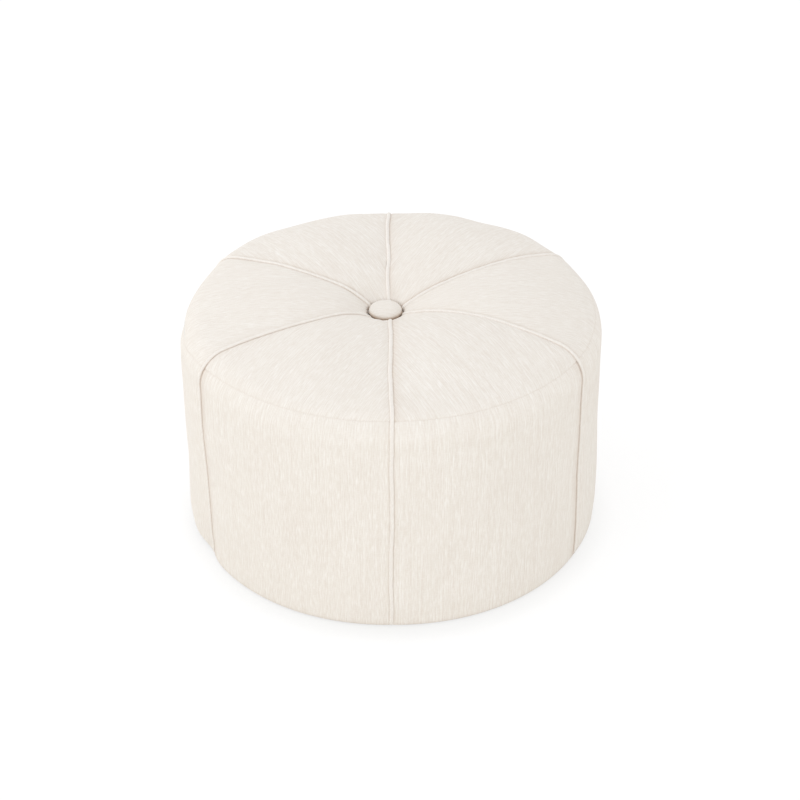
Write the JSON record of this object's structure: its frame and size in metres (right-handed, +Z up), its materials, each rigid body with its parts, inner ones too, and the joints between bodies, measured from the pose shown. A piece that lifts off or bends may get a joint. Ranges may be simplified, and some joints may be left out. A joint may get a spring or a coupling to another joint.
{
  "type": "ottoman coffee table",
  "caption": "Round upholstered drum with a crowned segmented top, covered welts, a centre button and a fully skirted side on low hidden glides.",
  "frame": {"origin": "on the floor, under the middle of the drum", "axes": "+Z up along the drum's axis; a welt faces -Y and another +Y; panel middles lie on +X and -X"},
  "size_m": [0.6412, 0.6428, 0.3892],
  "materials": {
    "cover_linen": "cream slub-weave linen-look upholstery fabric",
    "welt_linen": "the same cream fabric, cut as a strip and sewn over cord",
    "foam": "cut polyurethane foam, unfinished",
    "wadding": "white polyester fibre wadding",
    "felt": "grey needled felt wrap",
    "plywood": "birch plywood, sawn and unfinished",
    "softwood": "planed pine, unfinished",
    "hardboard": "smooth-faced hardboard",
    "hardwood": "turned beech dowel",
    "zinc_steel": "zinc-plated steel",
    "waxed_twine": "waxed polyester twine",
    "dust_cloth": "black spun-bonded cloth",
    "glide_plastic": "black moulded polyethylene"
  },
  "bodies": {
    "root": {"base_ring": "plywood", "top_board": "plywood", "drum_skin": "hardboard", "top_screws": "zinc_steel", "base_screws": "zinc_steel", "foam_pad": "foam", "crown_wadding": "wadding", "side_padding": "felt", "button_cover": "cover_linen", "button_shell": "zinc_steel", "button_back": "zinc_steel", "tuft_twine": "waxed_twine", "tuft_toggle": "hardwood", "dust_cover": "dust_cloth", "glide_nails": "zinc_steel", "upright_1": "softwood", "upright_2": "softwood", "upright_3": "softwood", "upright_4": "softwood", "upright_5": "softwood", "upright_6": "softwood", "top_panel_1": "cover_linen", "top_panel_2": "cover_linen", "top_panel_3": "cover_linen", "top_panel_4": "cover_linen", "top_panel_5": "cover_linen", "top_panel_6": "cover_linen", "side_panel_1": "cover_linen", "side_panel_2": "cover_linen", "side_panel_3": "cover_linen", "side_panel_4": "cover_linen", "side_panel_5": "cover_linen", "side_panel_6": "cover_linen", "welt_1": "welt_linen", "welt_2": "welt_linen", "welt_3": "welt_linen", "welt_4": "welt_linen", "welt_5": "welt_linen", "welt_6": "welt_linen", "glide_1": "glide_plastic", "glide_2": "glide_plastic", "glide_3": "glide_plastic", "glide_4": "glide_plastic", "glide_5": "glide_plastic", "glide_6": "glide_plastic"}
  },
  "joints": []
}
